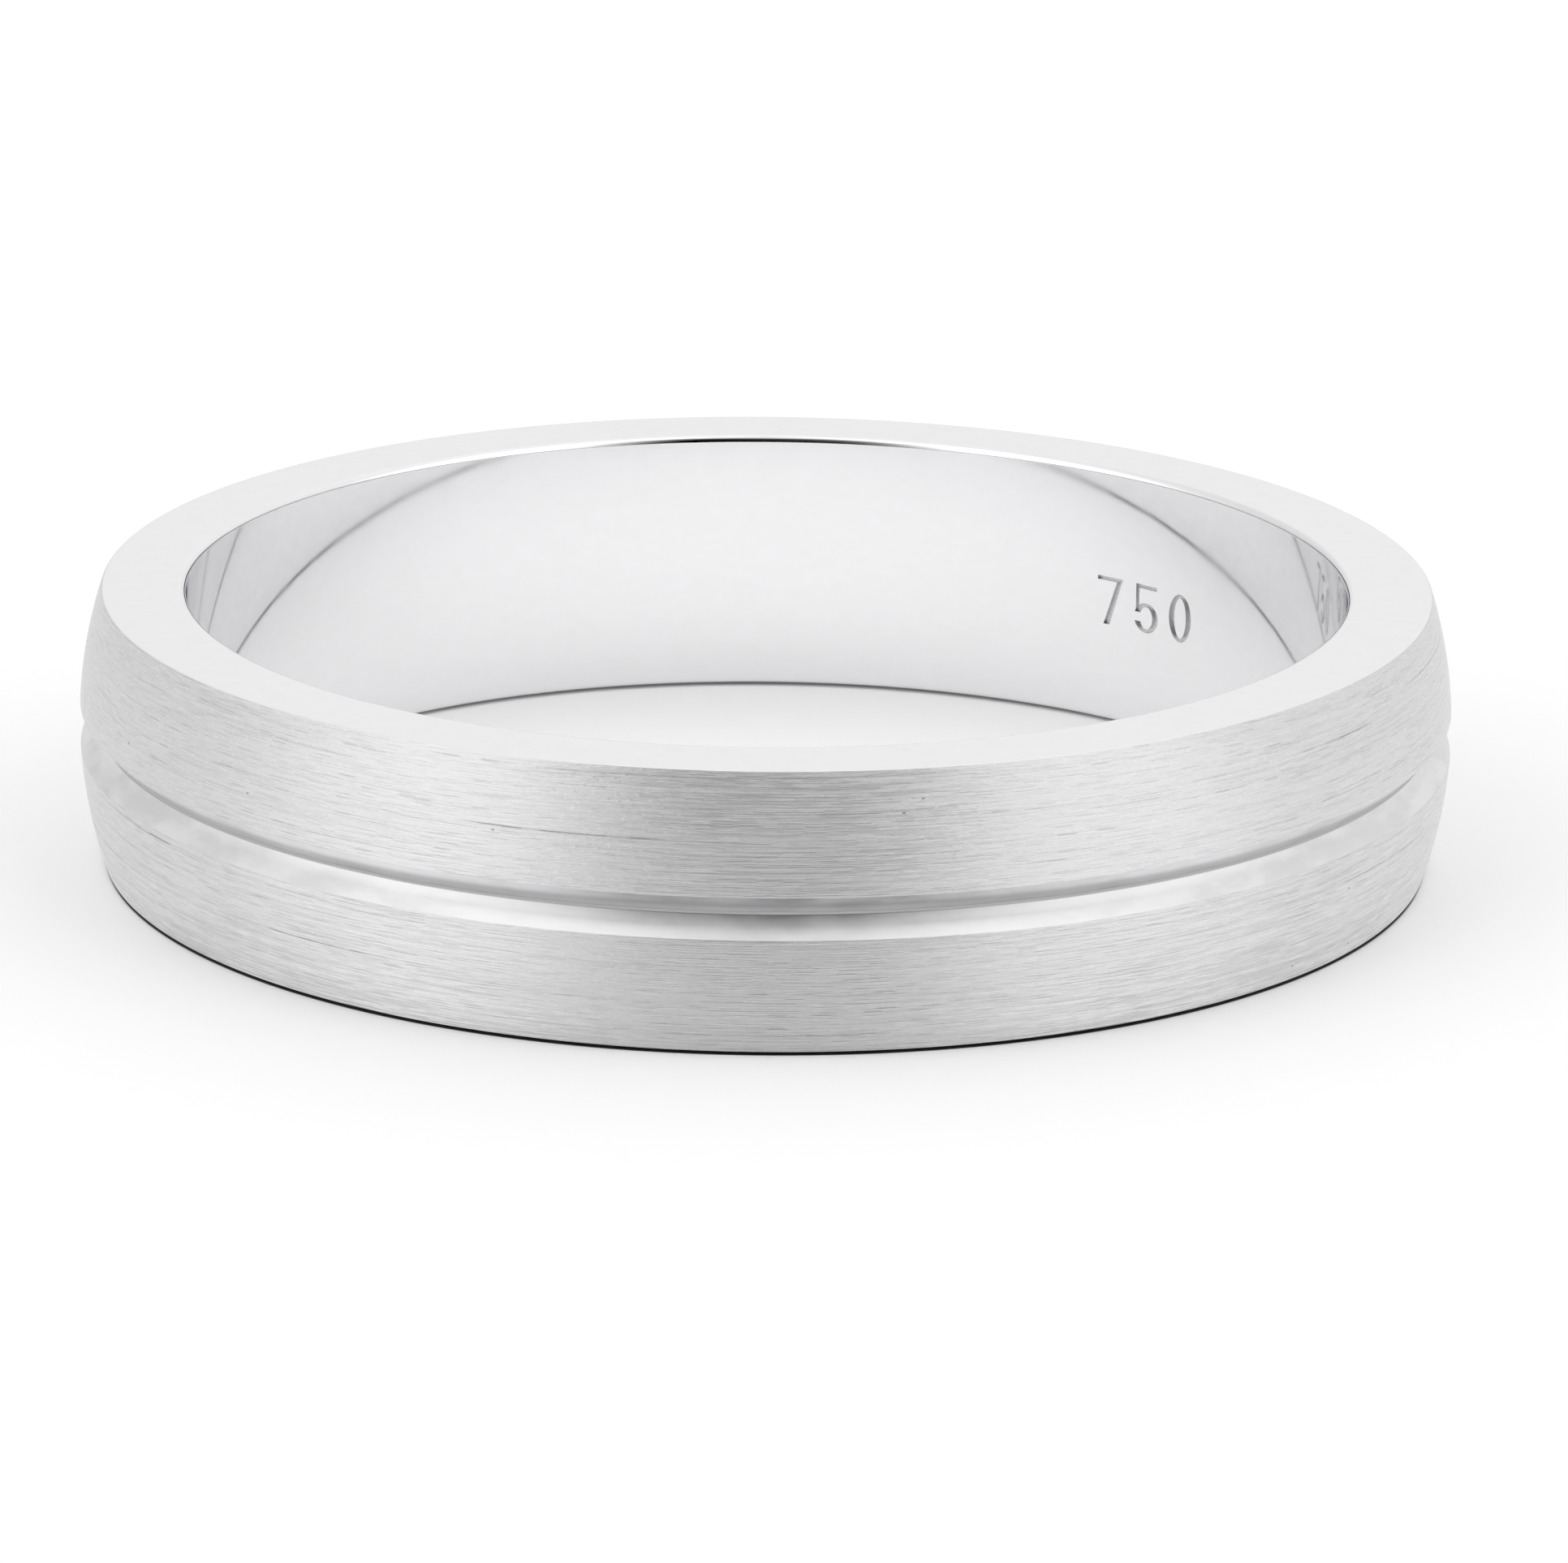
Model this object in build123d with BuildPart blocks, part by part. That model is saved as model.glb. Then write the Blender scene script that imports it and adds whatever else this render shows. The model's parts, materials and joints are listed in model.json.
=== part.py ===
from build123d import *
import math
import os

# A wedding band, turned from one piece of white gold.
#
# It is a body of revolution about Z, and its origin is the middle of the finger bore. The
# outside is gently domed, with one V groove round the middle of the width. The sides are flat
# and square to the bore, and the mouths of the bore are rounded, so that the band slides over
# a knuckle. The fineness number 750 is engraved in the wall of the bore.
# Sizes are in millimetres and angles in degrees.

# ---- the band ----
bore_diameter = 19.0  # the ring size
band_width = 4.5  # from side to side, along Z
wall_thickness = 1.75  # from the bore to the top of the dome
dome_rise = 0.375  # from the dome's edges, at the sides, to its top
dome_edge_radius = 0.05  # where the dome meets a side, only just eased
bore_mouth_radius = 0.12  # where the bore meets a side

# ---- the groove round the middle ----
groove_width = 0.70  # between its lips, on the dome
groove_angle = 90.0  # between its two walls
groove_floor = 0.04  # the flat that the tip of the cutter leaves
groove_lip_radius = 0.03

# ---- the fineness number, read from the axis with +Z upwards ----
mark_height = 0.85
mark_depth = 0.06
mark_azimuth = 43.5  # from +Y towards +X, to the middle of the number
mark_drop = 0.10  # from the middle of the band's width down to the middle of the number
numeral_width = 0.54
numeral_pitch = 0.80  # from one numeral's middle to the next, along the bore
thick_stroke = 0.13  # strokes that run up and down
thin_stroke = 0.07  # strokes that run across
bowl_height = 0.53  # the round part of the 5
bowl_gap = 0.16  # the opening at its left

# ---- worked out from those ----
bore_radius = bore_diameter / 2
half_width = band_width / 2
dome_radius = bore_radius + wall_thickness  # out to the top of the dome
side_radius = dome_radius - dome_rise  # out to where the dome meets a side

# The dome's outline is one arc, through its two edges and its top.
dome_arc_radius = (half_width**2 + dome_rise**2) / (2 * dome_rise)
dome_arc_centre = dome_radius - dome_arc_radius

# The groove's walls run on past the dome, so that the cut leaves no skin between its lips.
half_groove = groove_width / 2
half_floor = groove_floor / 2
groove_slope = math.tan(math.radians(groove_angle / 2))
lip_reach = dome_arc_centre + math.sqrt(dome_arc_radius**2 - half_groove**2)
root_reach = lip_reach - (half_groove - half_floor) / groove_slope
clear_reach = dome_radius + groove_width
clear_half = half_floor + (clear_reach - root_reach) * groove_slope

half_numeral = numeral_width / 2
half_height = mark_height / 2
bowl_middle = bowl_height / 2 - half_height


def numeral_plane(place):
    """Give the plane that a numeral is drawn on, halfway from the axis to the bore's wall.

    It faces back at the axis, because the number is read from inside the bore. The place
    counts numerals from the middle one, rightwards as they are read.
    """
    azimuth = mark_azimuth + math.degrees(place * numeral_pitch / bore_radius)
    outwards = Vector(0, 1, 0).rotate(Axis.Z, -azimuth)
    rightwards = Vector(1, 0, 0).rotate(Axis.Z, -azimuth)
    middle = outwards * (bore_radius / 2) - Vector(0, 0, mark_drop)
    return Plane(origin=middle, x_dir=rightwards, z_dir=-outwards)


# The cutter for the number. Each numeral runs square to the wall at its own place, and all
# three end at one cylinder, so that the number is as deep at its ends as in its middle.
with BuildPart() as number_cutter:
    # 7: a thin bar, with a thick leg from its right end down to its foot.
    with BuildSketch(numeral_plane(-1)):
        with Locations((0, half_height - thin_stroke / 2)):
            Rectangle(numeral_width, thin_stroke)
        with BuildLine():
            Polyline(
                (half_numeral, half_height),
                (thick_stroke - half_numeral / 2, -half_height),
                (-half_numeral / 2, -half_height),
                (half_numeral - thick_stroke, half_height - thin_stroke),
                close=True,
            )
        make_face()

    # 5: a round bowl, open at its left, under a thin stem and a thin bar.
    with BuildSketch(numeral_plane(0)):
        with Locations((0, bowl_middle)):
            Ellipse(half_numeral, bowl_height / 2)
            Ellipse(half_numeral - thick_stroke, bowl_height / 2 - thin_stroke, mode=Mode.SUBTRACT)
        with Locations((-half_numeral, bowl_middle)):
            Rectangle(numeral_width, bowl_gap, mode=Mode.SUBTRACT)
        with Locations((-half_numeral + thin_stroke, half_height)):
            Rectangle(
                thin_stroke,
                half_height - bowl_middle - bowl_gap / 2,
                align=(Align.CENTER, Align.MAX),
            )
        with Locations((0, half_height)):
            Rectangle(numeral_width - thin_stroke, thin_stroke, align=(Align.CENTER, Align.MAX))

    # 0: an oval ring that is thick at its sides.
    with BuildSketch(numeral_plane(1)):
        Ellipse(half_numeral, half_height)
        Ellipse(half_numeral - thick_stroke, half_height - thin_stroke, mode=Mode.SUBTRACT)

    extrude(amount=-bore_radius)
    Cylinder(bore_radius + mark_depth, band_width, mode=Mode.INTERSECT)


# The band: its section, seen along -Y, is turned once round the axis of the bore.
with BuildPart() as band:
    with BuildSketch(Plane.XZ):
        with BuildLine():
            bore = Line((bore_radius, -half_width), (bore_radius, half_width))
            side = Line(bore @ 1, (side_radius, half_width))
            dome = ThreePointArc(side @ 1, (dome_radius, 0), (side_radius, -half_width))
            Line(dome @ 1, bore @ 0)
        make_face()
        fillet(vertices().group_by(Axis.X)[-1], dome_edge_radius)
        fillet(vertices().group_by(Axis.X)[0], bore_mouth_radius)

        with BuildLine():
            Polyline(
                (root_reach, half_floor),
                (clear_reach, clear_half),
                (clear_reach, -clear_half),
                (root_reach, -half_floor),
                close=True,
            )
        make_face(mode=Mode.SUBTRACT)
        groove_corners = vertices().filter_by_position(Axis.Y, -groove_width, groove_width)
        fillet(groove_corners.group_by(Axis.X)[-1], groove_lip_radius)
    revolve(axis=Axis.Z)
    add(number_cutter.part, mode=Mode.SUBTRACT)


os.makedirs("parts", exist_ok=True)
band.part.label = "band"
export_step(band.part, "parts/band.step")
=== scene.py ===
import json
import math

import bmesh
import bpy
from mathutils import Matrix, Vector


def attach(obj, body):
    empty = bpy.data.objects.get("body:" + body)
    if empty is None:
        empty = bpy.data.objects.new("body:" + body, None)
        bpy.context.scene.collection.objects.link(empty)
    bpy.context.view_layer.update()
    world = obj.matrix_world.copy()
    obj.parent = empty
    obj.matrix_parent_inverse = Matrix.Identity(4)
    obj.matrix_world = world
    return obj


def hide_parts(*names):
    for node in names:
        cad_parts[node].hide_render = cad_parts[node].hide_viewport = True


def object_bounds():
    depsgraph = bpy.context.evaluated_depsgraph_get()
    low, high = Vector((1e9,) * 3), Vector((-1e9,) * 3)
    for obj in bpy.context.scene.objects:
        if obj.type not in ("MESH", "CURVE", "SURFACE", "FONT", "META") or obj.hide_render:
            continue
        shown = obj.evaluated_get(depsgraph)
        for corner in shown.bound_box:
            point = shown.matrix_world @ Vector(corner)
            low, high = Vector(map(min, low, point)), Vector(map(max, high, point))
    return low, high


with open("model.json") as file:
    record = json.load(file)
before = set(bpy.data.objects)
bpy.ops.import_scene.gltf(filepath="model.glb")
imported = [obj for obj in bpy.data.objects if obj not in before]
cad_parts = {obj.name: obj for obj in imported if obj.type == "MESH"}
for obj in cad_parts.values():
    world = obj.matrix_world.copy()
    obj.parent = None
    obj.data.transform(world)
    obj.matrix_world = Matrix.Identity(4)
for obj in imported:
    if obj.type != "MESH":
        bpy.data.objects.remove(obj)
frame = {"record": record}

# %% [markdown]
# # A brushed wedding band with a polished groove
#
# A wedding band of this kind is one piece of white gold. A goldsmith turns it on a lathe, cuts
# one V groove round the middle, polishes it all over, and then brushes the domed outside with
# an abrasive wheel while the band spins. The groove, the two flat sides and the bore keep
# their polish, and a fineness number is engraved in the bore.
#
# The measured band is loaded already. Its mesh is made of flat facets, fine enough for
# measuring but not for a mirror, where each facet would show. So this lesson turns the band
# again as a smooth mesh of the same sizes, and the measured one is only hidden.

measured_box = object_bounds()

MM = 0.001
bore_mount = next(m for m in frame["record"]["mounts"] if m["name"] == "finger_bore")
bore_radius = bore_mount["dims"]["r_mm"] * MM
half_width = measured_box[1].z
mouth_radius = half_width - bore_mount["dims"]["length_mm"] * MM / 2

wall = 1.75 * MM  # from the bore to the top of the dome
dome_rise = 0.375 * MM  # from the dome's edges to its top
dome_edge_radius = 0.05 * MM
groove_width = 0.70 * MM
groove_angle = math.radians(90)
groove_floor = 0.04 * MM
groove_lip_radius = 0.03 * MM
print(f"bore {bore_radius / MM:.2f} mm in radius, mouths rounded by {mouth_radius / MM:.2f} mm")

# %% [markdown]
# ## The section
#
# Every turned thing is one flat outline, swept round an axis. The outline of this band has a
# dome that is one wide arc, two straight walls that meet in the groove, and small arcs where
# one cut runs into the next. On the real band those little roundings come from the polishing
# mop. They matter more than their size suggests, because a rounded edge of polished metal
# always finds a light to reflect, and that is the bright line along every edge.
#
# Each small arc is found from its radius and from the two things that it joins. Smooth shading
# averages the facets on either side of an edge, which would bend the reflections in a flat
# side, so the flats and the dome have one more point a hair's breadth from each end.

# %% Work out the section
dome_reach = bore_radius + wall
dome_arc_radius = (half_width**2 + dome_rise**2) / (2 * dome_rise)
dome_centre = Vector((dome_reach - dome_arc_radius, 0))
half_groove = groove_width / 2
wall_direction = Vector((math.cos(groove_angle / 2), math.sin(groove_angle / 2)))
lip_reach = dome_centre.x + math.sqrt(dome_arc_radius**2 - half_groove**2)
groove_root = Vector((lip_reach, half_groove)) - wall_direction * (
    (half_groove - groove_floor / 2) / wall_direction.y
)
hair = 0.008 * MM


def rounding_centre(start, direction, into_metal, radius):
    """Give the centre of the arc that joins a straight cut to the dome, inside the metal."""
    offset = start + into_metal * radius - dome_centre
    along = offset.dot(direction)
    excess = offset.length_squared - (dome_arc_radius - radius) ** 2
    return dome_centre + offset + direction * (math.sqrt(along**2 - excess) - along)


def arc(centre, radius, start, end, steps, margin=0.0):
    """Give the points of an arc, with one more point inside each end if there is a margin."""
    turn = (end - start) / steps
    angles = [start + turn * step for step in range(steps + 1)]
    if margin:
        angles = [start, start + margin, *angles[1:-1], end - margin, end]
    return [centre + radius * Vector((math.cos(angle), math.sin(angle))) for angle in angles]


def turn_from_dome(point):
    """Give the angle of the dome's surface where a point lies on it or behind it."""
    return math.atan2(point.y - dome_centre.y, point.x - dome_centre.x)


up_the_wall = Vector((-wall_direction.y, wall_direction.x))
lip = rounding_centre(groove_root, wall_direction, up_the_wall, groove_lip_radius)
side = Vector((bore_radius, half_width))
edge = rounding_centre(side, Vector((1, 0)), Vector((0, -1)), dome_edge_radius)
mouth = Vector((bore_radius + mouth_radius, half_width - mouth_radius))
lip_turn, edge_turn = turn_from_dome(lip), turn_from_dome(edge)
lip_arc = arc(lip, groove_lip_radius, groove_angle / 2 - math.pi / 2, lip_turn, 6)
upper_half = [
    groove_root,
    groove_root + wall_direction * hair,
    lip_arc[0] - wall_direction * hair,
    *lip_arc,
    *arc(dome_centre, dome_arc_radius, lip_turn, edge_turn, 20, hair / dome_arc_radius)[1:],
    *arc(edge, dome_edge_radius, edge_turn, math.pi / 2, 6)[1:],
    Vector((edge.x - hair, half_width)),
    Vector((mouth.x + hair, half_width)),
    *arc(mouth, mouth_radius, math.pi / 2, math.pi, 9),
    Vector((bore_radius, mouth.y - hair)),
]
outline = upper_half + [Vector((point.x, -point.y)) for point in reversed(upper_half)]
reach = max(point.x for point in outline)
print(f"{len(outline)} points, out to {reach / MM:.4f} mm; measured {measured_box[1].x / MM:.4f}")

# %% [markdown]
# ## Wiring nodes in Python
#
# Both the shape and the finishes below are node trees. Sums read better as Python than as
# calls, so a wire stands for one socket, and adding or multiplying wires adds a Math node.
# Everything else goes through one method, which takes the kind of node, its settings, and
# what goes into its sockets.


# %% A bench to wire nodes on
class Wire:
    """A node's output that can be used in arithmetic."""

    def __init__(self, bench, socket):
        self.bench = bench
        self.socket = socket

    def other(self, name):
        """Give another output of the same node."""
        return Wire(self.bench, self.socket.node.outputs[name])

    def maths(self, operation, *values):
        return self.bench.node("ShaderNodeMath", {"operation": operation}, dict(enumerate(values)))

    def __add__(self, value):
        return self.maths("ADD", self, value)

    def __radd__(self, value):
        return self.maths("ADD", value, self)

    def __sub__(self, value):
        return self.maths("SUBTRACT", self, value)

    def __rsub__(self, value):
        return self.maths("SUBTRACT", value, self)

    def __mul__(self, value):
        return self.maths("MULTIPLY", self, value)

    def __rmul__(self, value):
        return self.maths("MULTIPLY", value, self)

    def __truediv__(self, value):
        return self.maths("DIVIDE", self, value)

    def __rtruediv__(self, value):
        return self.maths("DIVIDE", value, self)

    def __pow__(self, value):
        return self.maths("POWER", self, value)

    def __rpow__(self, value):
        return self.maths("POWER", value, self)

    def __abs__(self):
        return self.maths("ABSOLUTE", self)

    def floor(self):
        return self.maths("FLOOR", self)

    def fraction(self):
        return self.maths("FRACT", self)

    def __gt__(self, value):
        return self.maths("GREATER_THAN", self, value)

    def __lt__(self, value):
        return self.maths("LESS_THAN", self, value)


class Bench:
    """A node tree, and the one method that adds to it."""

    def __init__(self, tree):
        self.tree = tree

    def node(self, kind, settings=None, sockets=None, output=0):
        """Add a node, make its settings, fill its sockets, and give one of its outputs."""
        made = self.tree.nodes.new(kind)
        for name, value in (settings or {}).items():
            setattr(made, name, value)
        for name, value in (sockets or {}).items():
            if isinstance(value, Wire):
                self.tree.links.new(value.socket, made.inputs[name])
            else:
                made.inputs[name].default_value = value
        return Wire(self, made.outputs[output]) if made.outputs else made

    def split(self, vector):
        """Give the three parts of a vector."""
        x = self.node("ShaderNodeSeparateXYZ", {}, {"Vector": vector})
        return x, x.other("Y"), x.other("Z")


# %% [markdown]
# ## The finishes
#
# White gold is a pale, neutral grey metal. Polished, it shows only what stands round it, so a
# polished finish is made by what it lacks: a colour, almost all roughness, and all but the
# faint unevenness that a mop leaves. So its material has a pale metal colour, a low roughness
# and a bump of less than a thousandth of a millimetre.

# %% Helpers for finishes
def new_finish(name):
    """Start a material, and give it with its bench and the position on the band in mm."""
    material = bpy.data.materials.new(name)
    material.use_nodes = True
    material.node_tree.nodes.clear()
    bench = Bench(material.node_tree)
    place = bench.node("ShaderNodeTexCoord", output="Object")
    place = bench.node("ShaderNodeVectorMath", {"operation": "SCALE"}, {"Vector": place, "Scale": 1 / MM})
    return material, bench, place


def noise(bench, place, round_band, across_band, detail=2.0, seed=0.0):
    """Give noise with so many features to a millimetre round the band, and across it."""
    counts = (round_band, round_band, across_band)
    stretched = bench.node("ShaderNodeVectorMath", {"operation": "MULTIPLY"}, {0: place, 1: counts})
    return bench.node(
        "ShaderNodeTexNoise", {"noise_dimensions": "4D"},
        {"Vector": stretched, "W": seed, "Scale": 1.0, "Detail": detail, "Roughness": 0.55},
    )


def between(bench, value, low, high, low_result=0.0, high_result=1.0):
    """Turn one range of values into another, smoothly, and hold it at the ends."""
    return bench.node(
        "ShaderNodeMapRange", {"interpolation_type": "SMOOTHSTEP"},
        {"Value": value, "From Min": low, "From Max": high, "To Min": low_result, "To Max": high_result},
    )


def grey(level):
    """Give the colour of white gold at a level: neutral, and just cooler than grey."""
    return (level, level * 0.997, level * 1.006, 1)


def shade(bench, share, dark, light):
    """Give a colour between two levels of white gold."""
    return bench.node(
        "ShaderNodeMix", {"data_type": "RGBA"}, {0: share, 6: dark, 7: light}, output=2
    )


def bump(bench, height, millimetres):
    return bench.node(
        "ShaderNodeBump", {}, {"Strength": 1.0, "Distance": millimetres * MM, "Height": height}
    )


def finish_with(bench, sockets):
    """End a material in a metal shader."""
    metal = bench.node("ShaderNodeBsdfPrincipled", {}, {"Metallic": 1.0, **sockets})
    bench.node("ShaderNodeOutputMaterial", {}, {"Surface": metal})


# %% The polished sides and bore
def polished_gold():
    material, bench, place = new_finish("polished_white_gold")
    swirl = noise(bench, place, 0.8, 0.8, 2, 5.0)
    haze = noise(bench, place, 3, 5, 3, 7.0)
    finish_with(bench, {
        "Base Color": shade(bench, between(bench, haze, 0.3, 0.7), grey(0.90), grey(0.92)),
        "Roughness": between(bench, swirl, 0.3, 0.7, 0.03, 0.07),
        "Normal": bump(bench, swirl, 0.0006),
    })
    return material


# %% [markdown]
# ## The brushed dome
#
# An abrasive wheel leaves thousands of hair-thin scratches, which all run round the band. They
# spread a reflection across the scratches but hardly along them, which the shader calls
# anisotropy. The scratches themselves could be stretched noise, but noise has soft ends, and
# it looks like wood. So the band is ruled in rows a few hundredths of a millimetre wide, each
# row is divided into scratches at a random start, and each scratch gets a random strength and
# tapers at its ends. Three such layers, with different lengths, look like one brushed surface.
# About one scratch in a hundred is deep, and a wheel also pulls out a grain here and there.


# %% Rows of scratches
def random_of(bench, *numbers):
    """Give a random value from 0 to 1 that depends on up to three numbers."""
    where = bench.node("ShaderNodeCombineXYZ", {}, dict(zip("XYZ", numbers)))
    return bench.node("ShaderNodeTexWhiteNoise", {"noise_dimensions": "3D"}, {"Vector": where})


def hump(share):
    """Rise from 0 to 1 and fall to 0 again while the share goes from 0 to 1."""
    return share * (1.0 - share) * 4.0


def plateau(bench, share):
    """Rise quickly from 0 to 1, stay there, and fall quickly while the share goes from 0 to 1."""
    return between(bench, hump(share), 0.0, 0.5)


def scratches(bench, along, across, length, spacing, seed):
    """Give the strength of the scratch at a place, from 0 to 1, and its taper there."""
    rows = across / spacing
    run = along / length + random_of(bench, rows.floor(), seed) * 40.0
    strength = random_of(bench, rows.floor(), run.floor(), seed)
    return strength, plateau(bench, run.fraction()) * hump(rows.fraction())


# %% The brushed finish
# Lengths and spacings are in mm. A random strength above the last number makes it show.
SCRATCH_LAYERS = ((0.35, 0.02, 1.0), (1.6, 0.024, 1.0), (4.5, 0.033, 0.6))  # length, spacing, share
DEEP_SCRATCH, DEEP_ABOVE = (3.6, 0.03), 0.99
PULLED_GRAIN, PULLED_ABOVE = (0.06, 0.04), 0.9997


def brushed_gold():
    material, bench, place = new_finish("brushed_white_gold")
    x, y, z = bench.split(place)
    along = z.maths("ARCTAN2", x, 0.0 - y) * (dome_reach / MM)
    across = z + noise(bench, place, 0.3, 0.3, 1, 1.0) * 0.03
    lines = 0.0
    for seed, (length, spacing, share) in enumerate(SCRATCH_LAYERS, start=2):
        strength, taper = scratches(bench, along, across, length, spacing, seed)
        lines = (strength - 0.5) * taper * share + lines
    strength, taper = scratches(bench, along, across, *DEEP_SCRATCH, 11.0)
    broken_up = between(bench, lines, -0.8, 0.4, 1.0, 0.3)
    deep = between(bench, strength, DEEP_ABOVE, 1.0) * taper * broken_up
    strength, taper = scratches(bench, along, across, *PULLED_GRAIN, 12.0)
    pits = (strength > PULLED_ABOVE) * taper
    patches = noise(bench, place, 0.5, 1.2, 2, 3.0)
    colour = shade(bench, lines * 0.6 + patches * 0.2 + 0.5, grey(0.56), grey(0.96))
    colour = shade(bench, deep * 0.8 + pits * 0.6, colour, grey(0.15))
    finish_with(bench, {
        "Base Color": colour,
        "Roughness": lines * 0.2 + patches * 0.06 + 0.44,
        "Anisotropic": 0.9,
        "Anisotropic Rotation": 0.25,
        "Normal": bump(bench, lines - deep, 0.008),
    })
    return material


# %% [markdown]
# ## The groove and the number
#
# The groove is cut after the brushing with a pointed tool, and its walls are only cleaned with
# a soft brush. So they shine, but softly, with cloudy patches. The upper wall is painted
# darker than the lower one, as painted shade, which gives the groove a dark line over a bright
# one. The very bottom is painted darker too, as painted shade, and a bump rounds it a little, as
# a worn tool would. The pockets of the number stay as the engraving tool leaves them: duller
# and darker than the bore, with a fine grain.


# %% The finish of the groove
ROOT_ROUNDING = 0.14  # how far the rounding of the root reaches, in mm
ROOT_FILL = 0.03  # how much of the root it fills, in mm
# The upper wall's painted shade, in mm of height: where it starts, is full, fades and ends.
SHADED_WALL = (0.0, 0.03, 0.13, 0.27)  # heights where the dullness starts, is full, fades and ends
# The painted shade in the groove's root, in mm from the root out: where it is full and where it ends.
SHADED_ROOT = (0.002, 0.016)  # from the root out, where the dirt is full and where it ends


def groove_gold():
    material, bench, place = new_finish("bright_cut_white_gold")
    x, y, z = bench.split(place)
    clouds = noise(bench, place, 0.9, 2.5, 3, 21.0)
    above_root = (x * x + y * y) ** 0.5 - groove_root.x / MM
    start, full, fading, end = SHADED_WALL
    # Painted shade: the upper wall is darkened in colour.
    wall_shade = between(bench, z, start, full) * between(bench, z, fading, end, 1.0, 0.0)
    # Painted shade: the very bottom of the groove is darkened in colour.
    root_shade = between(bench, above_root, *SHADED_ROOT, 1.0, 0.0)
    colour = shade(bench, between(bench, clouds, 0.35, 0.6), grey(0.74), grey(0.84))
    colour = shade(bench, wall_shade * 0.5, colour, grey(0.3))
    height = z.maths("MAXIMUM", 1.0 - above_root / ROOT_ROUNDING, 0.0) ** 2 * ROOT_FILL
    finish_with(bench, {
        "Base Color": shade(bench, root_shade, colour, grey(0.45)),
        "Roughness": between(bench, clouds, 0.3, 0.7, 0.34, 0.44),
        "Normal": bump(bench, clouds * 0.004 + height, 1.0),
    })
    return material


# %% The finish of the number
def engraved_gold():
    material, bench, place = new_finish("engraved_white_gold")
    grain = noise(bench, place, 22, 22, 3, 9.0)
    finish_with(bench, {
        "Base Color": shade(bench, between(bench, grain, 0.3, 0.7), grey(0.60), grey(0.74)),
        "Roughness": between(bench, grain, 0.3, 0.7, 0.28, 0.42),
        "Normal": bump(bench, grain, 0.004),
    })
    return material


polished, brushed, bright_cut, engraved = polished_gold(), brushed_gold(), groove_gold(), engraved_gold()
print("finishes:", [material.name for material in (polished, brushed, bright_cut, engraved)])

# %% [markdown]
# ## The fineness number
#
# The number 750 says that 750 parts in a thousand are gold. It is engraved, so each numeral is
# a shallow pocket with upright walls. The pockets could be drawn on with a bump, but a bump
# has no edge to catch the light, so they are cut. Each numeral is an outline on a plane square
# to the bore, and it is carried outwards to one cylinder, so that the pocket is equally deep
# all over.

# %% Draw the numerals
number_height = 0.85 * MM
number_depth = 0.06 * MM
number_azimuth = math.radians(43.5)  # from +Y towards +X, to the middle numeral
number_drop = 0.10 * MM
numeral_width = 0.54 * MM
numeral_pitch = 0.80 * MM
thick = 0.13 * MM
thin = 0.07 * MM
bowl_height = 0.53 * MM
bowl_gap = 0.16 * MM
cutter_start = bore_radius * 0.97  # the cutter begins here, clear of the bore's wall

half_numeral = numeral_width / 2
half_height = number_height / 2


def oval(half_across, half_up, middle, start, end, steps):
    """Give the points of an upright oval from one angle to another."""
    angles = [start + (end - start) * step / steps for step in range(steps + 1)]
    return [(half_across * math.cos(a), middle + half_up * math.sin(a)) for a in angles]


def seven():
    under_bar = half_height - thin
    foot = -half_numeral / 2
    return [
        (-half_numeral, half_height),
        (half_numeral, half_height),
        (foot + thick, -half_height),
        (foot, -half_height),
        (half_numeral - thick, under_bar),
        (-half_numeral, under_bar),
    ], None


def five():
    middle = bowl_height / 2 - half_height
    outer = (half_numeral, bowl_height / 2)
    inner = (half_numeral - thick, bowl_height / 2 - thin)
    stem_left = half_numeral - thin / 2
    stem_right = stem_left - thin
    outer_cut = math.asin(bowl_gap / 2 / outer[1])
    inner_cut = math.asin(bowl_gap / 2 / inner[1])
    meets_left = math.acos(-stem_left / outer[0])
    meets_right = math.acos(-stem_right / outer[0])
    return [
        (-stem_left, half_height),
        (stem_left, half_height),
        (stem_left, half_height - thin),
        (-stem_right, half_height - thin),
        *oval(*outer, middle, meets_right, outer_cut - math.pi, 40),
        *oval(*inner, middle, inner_cut - math.pi, math.pi - inner_cut, 40),
        *oval(*outer, middle, math.pi - outer_cut, meets_left, 4),
    ], None


def nought():
    outer = oval(half_numeral, half_height, 0, 0, -math.tau, 56)[:-1]
    inner = oval(half_numeral - thick, half_height - thin, 0, 0, -math.tau, 56)[:-1]
    return outer, inner


def cut_prism(mesh, azimuth, outer, inner):
    """Add one numeral to the cutter, from just inside the bore to the pocket's floor."""
    outwards = Vector((math.sin(azimuth), math.cos(azimuth), 0))
    rightwards = Vector((math.cos(azimuth), -math.sin(azimuth), 0))

    def ring(points, floor):
        made = []
        for across, up in points:
            reach = cutter_start
            if floor:
                reach = math.sqrt((bore_radius + number_depth) ** 2 - across**2)
            place = rightwards * across + outwards * reach + Vector((0, 0, up - number_drop))
            made.append(mesh.verts.new(place))
        return made

    rings = [(ring(points, False), ring(points, True)) for points in (outer, inner) if points]
    for near, far in rings:
        for k in range(len(near)):
            mesh.faces.new((near[k - 1], near[k], far[k], far[k - 1]))
    for side in (0, 1):
        caps = [ends[side] for ends in rings]
        if inner:
            for k in range(len(caps[0])):
                mesh.faces.new((caps[0][k - 1], caps[0][k], caps[1][k], caps[1][k - 1]))
        else:
            mesh.faces.new(caps[0])


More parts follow.
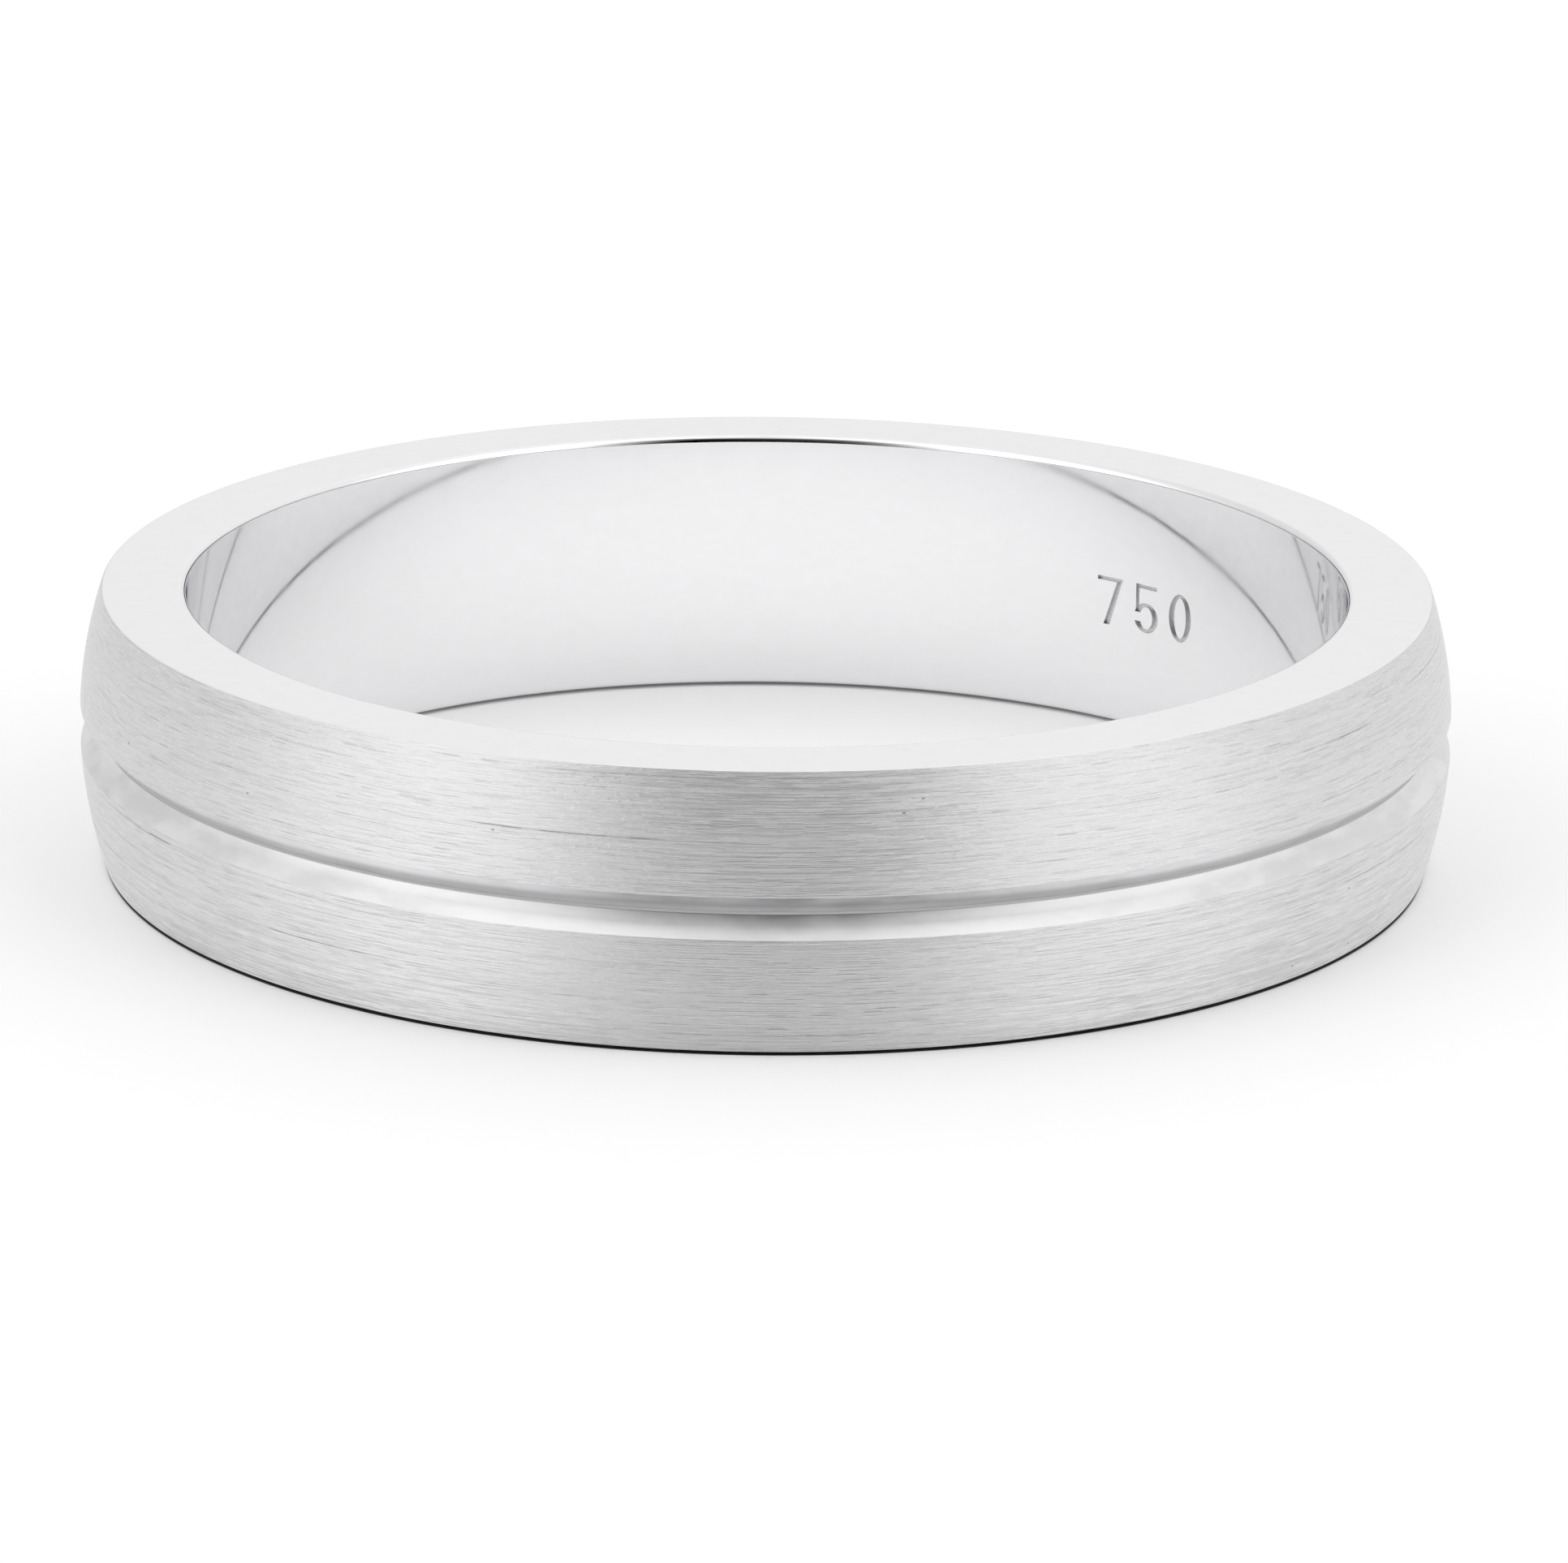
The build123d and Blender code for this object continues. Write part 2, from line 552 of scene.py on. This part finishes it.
cutter_mesh = bmesh.new()
for place, numeral in enumerate((seven, five, nought), start=-1):
    cut_prism(cutter_mesh, number_azimuth + place * numeral_pitch / bore_radius, *numeral())
bmesh.ops.recalc_face_normals(cutter_mesh, faces=cutter_mesh.faces)
cutter_data = bpy.data.meshes.new("number_cutter")
cutter_mesh.to_mesh(cutter_data)
cutter_mesh.free()
number_cutter = bpy.data.objects.new("number_cutter", cutter_data)
bpy.context.scene.collection.objects.link(number_cutter)
print(f"cutter for the number: {len(cutter_data.polygons)} faces")

# %% [markdown]
# ## Turning the band
#
# The band could be made with Spin or with a Screw modifier. A Geometry Nodes tree is used
# here, because its few named sizes say what the shape depends on, and because the same tree
# can then cut the number and hand out the finishes. Curve to Mesh carries the section round a
# circle as large as the bore, so the section is drawn from the bore outwards. A finish is
# handed out by where a face lies: the dome is what lies in the outer half of the wall and
# between the lip and the edge, and a pocket is what lies just behind the bore's surface.

# %% Build the turning tree
TREE_SIZES = {
    "Turning steps": ("NodeSocketInt", 512),
    "Bore radius": ("NodeSocketFloat", bore_radius),
    "Middle of the wall": ("NodeSocketFloat", bore_radius + wall / 2),
    "Groove lip": ("NodeSocketFloat", lip_arc[0].y),
    "Dome edge": ("NodeSocketFloat", edge.y + dome_edge_radius * 0.8),
    "Number cutter": ("NodeSocketObject", number_cutter),
    "Polished": ("NodeSocketMaterial", polished),
    "Brushed": ("NodeSocketMaterial", brushed),
    "Bright cut": ("NodeSocketMaterial", bright_cut),
    "Engraved": ("NodeSocketMaterial", engraved),
}


def turning_tree():
    tree = bpy.data.node_groups.new("turned_band", "GeometryNodeTree")
    tree.interface.new_socket(name="Section", in_out="INPUT", socket_type="NodeSocketGeometry")
    for name, (kind, _) in TREE_SIZES.items():
        tree.interface.new_socket(name=name, in_out="INPUT", socket_type=kind)
    tree.interface.new_socket(name="Band", in_out="OUTPUT", socket_type="NodeSocketGeometry")
    bench = Bench(tree)
    given = bench.node("NodeGroupInput")

    def painted(shape, name, faces=True):
        return bench.node(
            "GeometryNodeSetMaterial", {},
            {"Geometry": shape, "Selection": faces, "Material": given.other(name)},
        )

    circle = bench.node(
        "GeometryNodeCurvePrimitiveCircle", {},
        {"Resolution": given.other("Turning steps"), "Radius": given.other("Bore radius")},
    )
    blank = bench.node("GeometryNodeCurveToMesh", {}, {"Curve": circle, "Profile Curve": given})
    cutter = bench.node(
        "GeometryNodeObjectInfo", {}, {"Object": given.other("Number cutter")}, output="Geometry"
    )
    cut = bench.node(
        "GeometryNodeMeshBoolean", {"operation": "DIFFERENCE", "solver": "EXACT"},
        {"Mesh 1": painted(blank, "Polished"), "Mesh 2": painted(cutter, "Engraved")},
    )
    smooth = bench.node("GeometryNodeSetShadeSmooth", {}, {"Geometry": cut, "Shade Smooth": True})
    whole = bench.node("GeometryNodeRealizeInstances", {}, {"Geometry": smooth})

    x, y, z = bench.split(bench.node("GeometryNodeInputPosition"))
    outer = (x * x + y * y) ** 0.5 > given.other("Middle of the wall")
    height = abs(z)
    whole = painted(whole, "Brushed", outer * (height < given.other("Dome edge")))
    whole = painted(whole, "Bright cut", outer * (height < given.other("Groove lip")))
    bench.node("NodeGroupOutput", {}, {"Band": whole})
    return tree


# %% Turn the band and cut the number
section_data = bpy.data.curves.new("section", "CURVE")
section_data.dimensions = "3D"
spline = section_data.splines.new("POLY")
spline.points.add(len(outline) - 1)
for knot, point in zip(spline.points, outline):
    knot.co = (point.x - bore_radius, point.y, 0, 1)
spline.use_cyclic_u = True
section = bpy.data.objects.new("section", section_data)
bpy.context.scene.collection.objects.link(section)

turning = section.modifiers.new("Turn", "NODES")
turning.node_group = turning_tree()
for item in turning.node_group.interface.items_tree:
    if item.name in TREE_SIZES:
        turning[item.identifier] = TREE_SIZES[item.name][1]
evaluated = section.evaluated_get(bpy.context.evaluated_depsgraph_get())
band_data = bpy.data.meshes.new_from_object(evaluated)
band_data.name = "wedding_band"
wedding_band = bpy.data.objects.new("wedding_band", band_data)
bpy.context.scene.collection.objects.link(wedding_band)
for spent in (section, number_cutter):
    bpy.data.objects.remove(spent)

check = bmesh.new()
check.from_mesh(band_data)
open_edges = sum(not line.is_manifold for line in check.edges)
print(f"band: {len(check.faces)} faces, {open_edges} open edges, {check.calc_volume() / MM**3:.2f} mm3")
for index, material in enumerate(band_data.materials):
    faces = sum(face.material_index == index for face in band_data.polygons)
    print(f"{material.name}: {faces} faces")
check.free()

# %% [markdown]
# ## Keeping the bore a true mirror
#
# Smooth shading works out each normal from the faces round it. Where the number cuts the bore
# into slivers, those normals wander by a fraction of a degree, which a mirror shows as a dent.
# The bore's true normals are known, as they all point at the axis, so they are written in.

# %% Write true normals in the bore
band_data.set_sharp_from_angle(angle=math.radians(30))
normals = [corner.vector.copy() for corner in band_data.corner_normals]
straight_bore = mouth.y - hair / 2
bore_limit = bore_radius * 1.0001  # leaves out the floors of the number's pockets
upright = 0.1  # leaves out faces that don't run along the axis
written = 0
for face in band_data.polygons:
    centre = face.center
    out = math.hypot(centre.x, centre.y)
    if abs(centre.z) < straight_bore and out < bore_limit and abs(face.normal.z) < upright:
        for corner in face.loop_indices:
            point = band_data.vertices[band_data.loops[corner].vertex_index].co
            normals[corner] = Vector((-point.x, -point.y, 0)).normalized()
            written += 1
band_data.normals_split_custom_set(normals)
print(f"{written} normals written in the bore")

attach(wedding_band, "root")
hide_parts("band")

# %% [markdown]
# ## The studio
#
# A mirror has no look of its own, so the studio makes this picture. The band lies on matte
# white card. It touches the card only at a few high spots of its side, so a slit runs under
# it, and a painted shadow darkens the card there, which draws the band's foot.
#
# A card lit at a plain level comes out a little under white. More light would burn out the
# band, so the card glows faintly instead. The glow is there for the eye, and for rays that
# come by way of metal or glass, so that the bore mirrors the same card that the eye sees. It
# lights no matte surface, so the band's shadow stays.

# %% The floor
slit = 0.05 * MM
card_glow = 0.09
card_white = (0.97, 0.97, 0.975, 1)
# The card is painted darker under the band and just past its flat side: a painted shadow, with its colour
# and reach here.
painted_shadow_colour = (0.08, 0.08, 0.08, 1)
shadow_fade = 0.5  # mm that the dark takes to reach its full strength, out from the bore
shadow_reach = 0.05  # mm that it shows past the flat side of the band


def floor_card():
    material = bpy.data.materials.new("white_card")
    material.use_nodes = True
    material.node_tree.nodes.clear()
    bench = Bench(material.node_tree)
    x, y, z = bench.split(bench.node("ShaderNodeTexCoord", output="Object"))
    out = (x * x + y * y) ** 0.5 / MM
    inner, outer = bore_radius / MM, edge.x / MM
    # Painted shadow: the card is darkened under the band, and its glow is taken away there.
    painted_shadow = between(bench, out, inner, inner + shadow_fade)
    painted_shadow = painted_shadow * between(bench, out, outer, outer + shadow_reach, 1.0, 0.0)
    card = bench.node("ShaderNodeBsdfDiffuse", {}, {"Color": shade(bench, painted_shadow, card_white, painted_shadow_colour)})
    seen = bench.node("ShaderNodeLightPath", output="Is Camera Ray")
    for ray in ("Is Glossy Ray", "Is Transmission Ray"):
        seen = seen.maths("MAXIMUM", seen, bench.node("ShaderNodeLightPath", output=ray))
    glow = bench.node("ShaderNodeEmission", {}, {"Strength": seen * (1.0 - painted_shadow) * card_glow})
    both = bench.node("ShaderNodeAddShader", {}, {0: card, 1: glow})
    bench.node("ShaderNodeOutputMaterial", {}, {"Surface": both})
    return material


floor_size = 4.0  # metres, so that its edges lie out of sight
bpy.ops.mesh.primitive_plane_add(size=floor_size, location=(0, 0, -half_width - slit))
floor = bpy.context.object
floor.name = "floor"
floor.data.materials.append(floor_card())

# %% [markdown]
# ## The room
#
# The room is one world shader that gives light by direction, even and soft, as in a white
# tent. A broad soft light stands at each side, and a dark card stands in front, because a
# dome that reflects white all round looks flat. The front right is a little dimmer than the
# front left. The polished side mirrors all of this. From straight behind it finds the dark
# card and looks black, and from straight above it finds the upper ends of the side lights,
# which burn part of it out.

# %% The room
world = bpy.data.worlds.new("bright_room")
bpy.context.scene.world = world
world.use_nodes = True
world.node_tree.nodes.clear()
room = Bench(world.node_tree)
x, y, z = room.split(room.node("ShaderNodeTexCoord", output="Generated"))
ahead = (0.0 - y) / (x * x + y * y) ** 0.5
horizon_level, tent_level, overhead_gain = 0.84, 0.92, 0.08
side_light_gain, front_card_loss, right_shade_loss = 0.54, 0.92, 0.14

front_card = between(room, ahead, 0.74, 0.975) * between(room, abs(z - 0.25), 0.42, 0.8, 1.0, 0.0)
side_lights = between(room, abs(ahead - 0.45), 0.15, 0.62, 1.0, 0.0)
right_shade = between(room, x * ahead, 0.0, 0.5, 0.0, right_shade_loss)
tent = between(room, z, 0.0, 0.35, horizon_level, tent_level)
tent = tent + between(room, z, 0.5, 1.0, 0.0, overhead_gain)
light = tent + side_lights * side_light_gain - front_card * front_card_loss - right_shade
background = room.node("ShaderNodeBackground", {}, {"Color": (1, 1, 1, 1), "Strength": light})
room.node("ShaderNodeOutputWorld", {}, {"Surface": background})

# %% [markdown]
# ## The camera
#
# A long lens from far away keeps the band's ellipse true, as a short one would swell its
# front. It looks down by 16 degrees, so that the side, the bore and the dome all show.

# %% The camera
elevation = math.radians(16.294)
distance = 12.5 * dome_reach
pan, tilt, roll = -0.0022, -0.00806, math.radians(0.5325)

camera_data = bpy.data.cameras.new("camera")
camera_data.sensor_width = 36
camera_data.lens = 196.2
camera_data.clip_start = distance / 20
camera_data.clip_end = distance * 100
camera = bpy.data.objects.new("camera", camera_data)
bpy.context.scene.collection.objects.link(camera)
bpy.context.scene.camera = camera
eye = Vector((0, -math.cos(elevation), math.sin(elevation))) * distance
back, right = eye.normalized(), Vector((1, 0, 0))
facing = Matrix((right, back.cross(right), back)).transposed()
for angle, axis in ((pan, "Y"), (tilt, "X"), (roll, "Z")):
    facing = facing @ Matrix.Rotation(angle, 3, axis)
camera.matrix_world = Matrix.Translation(eye) @ facing.to_4x4()

# %% [markdown]
# ## Colours and bounces
#
# The Standard view shows a colour as it is written, where Blender's usual one softens it. At
# the ends of the bore, light bounces from wall to wall many times before it leaves. Blender
# stops after four bounces, and that leaves black patches there, so it may bounce twelve times.

# %% Colours as they are, and light that may bounce often in the bore
bpy.context.scene.view_settings.view_transform = "Standard"
bpy.context.scene.cycles.glossy_bounces = 12
